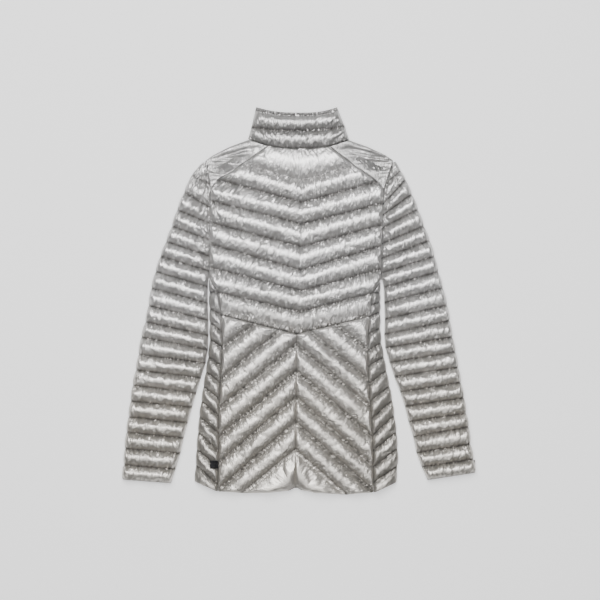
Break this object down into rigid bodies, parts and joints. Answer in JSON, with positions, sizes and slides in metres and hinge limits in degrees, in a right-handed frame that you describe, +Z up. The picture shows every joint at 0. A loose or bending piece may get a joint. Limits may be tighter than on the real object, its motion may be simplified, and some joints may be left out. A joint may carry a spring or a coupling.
{
  "type": "puffer jacket",
  "caption": "Light down jacket with a stand collar and chevron quilting, laid flat with its back up and zipped closed underneath.",
  "frame": {"origin": "middle of the bounding box on the surface that the jacket lies on", "axes": "+X to the right seen from above, +Y towards the collar, +Z up out of the surface and through the back"},
  "size_m": [0.672, 0.734, 0.0285],
  "materials": {
    "shell": "silver grey metallic nylon, smooth, soft sheen, puckered along the quilting",
    "zip_tape": "grey woven tape",
    "zip_metal": "satin grey metal",
    "patch": "matt black, bare"
  },
  "bodies": {
    "jacket": {"back_upper": "shell", "back_lower_left": "shell", "back_lower_right": "shell", "side_panel_left": "shell", "side_panel_right": "shell", "yoke_left": "shell", "yoke_right": "shell", "sleeve_left": "shell", "sleeve_right": "shell", "collar": "shell", "front_left": "shell", "front_right": "shell", "zip_tape_left": "zip_tape", "zip_tape_right": "zip_tape", "zip_chain": "zip_metal", "zip_slider": "zip_metal", "hem_patch": "patch"},
    "zip_pull": {"zip_pull": "zip_metal"}
  },
  "joints": [
    {"name": "zip_pull_swing", "type": "hinge", "parent": "jacket", "child": "zip_pull", "pos_m": [0, 0.336, 0.0019], "axis": [1, 0, 0], "range_deg": [0, 160]}
  ]
}
